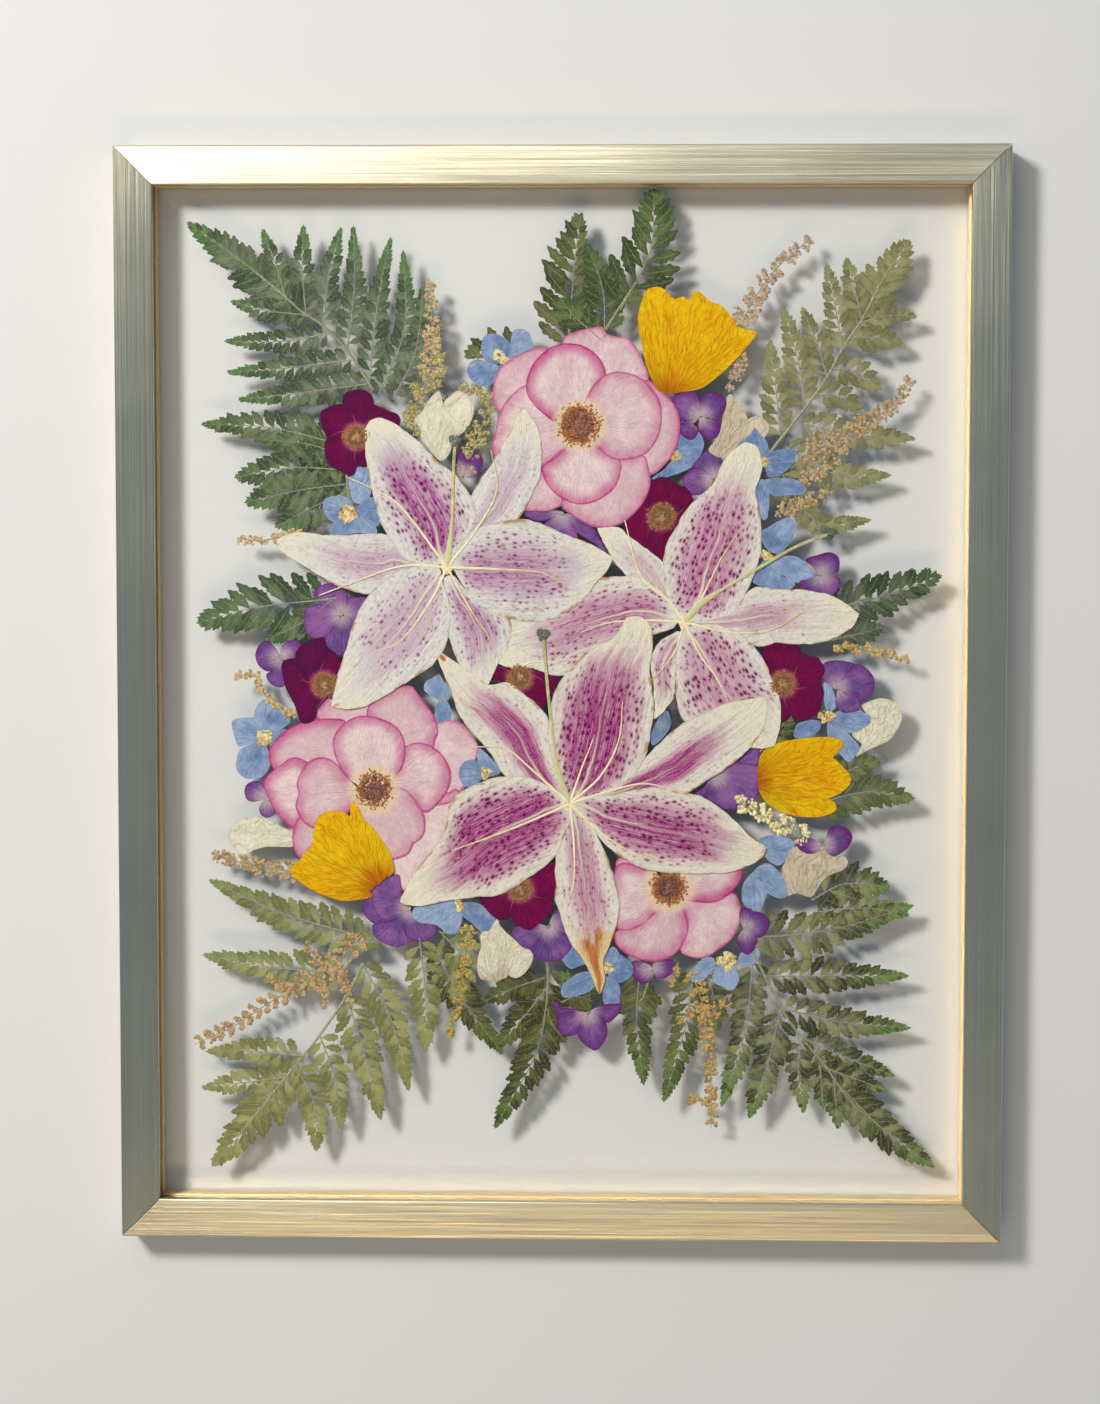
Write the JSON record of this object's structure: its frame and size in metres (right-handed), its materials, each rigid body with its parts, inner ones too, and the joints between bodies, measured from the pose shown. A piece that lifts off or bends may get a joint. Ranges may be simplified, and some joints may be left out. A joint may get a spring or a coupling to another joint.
{
  "type": "pressed flower frame",
  "caption": "Metal picture frame with see-through glass on both sides, holding dried flat lilies, roses, small florets, ferns and sprigs.",
  "frame": {"origin": "below the centre of the frame, in the plane of the backs of the rails, which the frame rests on when it lies on its back", "axes": "+Z out of the front glass towards the viewer, +Y towards the top rail, +X towards the right rail"},
  "size_m": [0.432, 0.533, 0.022],
  "materials": {
    "rail": "brushed, champagne gold",
    "strip": "satin gold",
    "glass": "clear, polished",
    "fern": "dried leaf, matt",
    "lily": "dried petal, matt, spotted",
    "rose_pink": "dried petal, matt, magenta edge",
    "rose_burgundy": "dried petal, matt",
    "blue_floret": "dried petal, matt",
    "hydrangea": "dried petal, matt",
    "cream_petal": "dried petal, matt",
    "yellow_cup": "dried petal, matt",
    "sprig": "dried buds, matt"
  },
  "bodies": {
    "root": {"blue_bottom": "blue_floret", "blue_left": "blue_floret", "blue_lower_right": "blue_floret", "blue_right": "blue_floret", "blue_top": "blue_floret", "blue_upper_left": "blue_floret", "blue_upper_right": "blue_floret", "cup_orange_left": "yellow_cup", "cup_yellow_right": "yellow_cup", "cup_yellow_top": "yellow_cup", "fern_bottom": "fern", "fern_bottom_right": "fern", "fern_left_lower": "fern", "fern_left_middle": "fern", "fern_left_upper": "fern", "fern_lower_left": "fern", "fern_lower_right": "fern", "fern_right_lower": "fern", "fern_right_middle": "fern", "fern_top_left": "fern", "fern_top_right": "fern", "fern_upper_left": "fern", "fern_upper_right": "fern", "glass_back": "glass", "glass_front": "glass", "hydrangea_bottom": "hydrangea", "hydrangea_left": "hydrangea", "hydrangea_lower_left": "hydrangea", "hydrangea_lower_right": "hydrangea", "hydrangea_right": "hydrangea", "hydrangea_top": "hydrangea", "lily_front": "lily", "lily_left": "lily", "lily_right": "lily", "rail_bottom": "rail", "rail_left": "rail", "rail_right": "rail", "rail_top": "rail", "rose_burgundy_bottom": "rose_burgundy", "rose_burgundy_left": "rose_burgundy", "rose_burgundy_middle": "rose_burgundy", "rose_burgundy_right": "rose_burgundy", "rose_burgundy_top": "rose_burgundy", "rose_burgundy_upper_left": "rose_burgundy", "rose_pink_left": "rose_pink", "rose_pink_right": "rose_pink", "rose_pink_top": "rose_pink", "sprig_bottom": "sprig", "sprig_cream": "sprig", "sprig_lower_left": "sprig", "sprig_right": "sprig", "sprig_upper_left": "sprig", "sprig_upper_right": "sprig", "strip_bottom": "strip", "strip_left": "strip", "strip_right": "strip", "strip_top": "strip", "white_bottom": "cream_petal", "white_right": "cream_petal", "white_top": "cream_petal"}
  },
  "joints": []
}
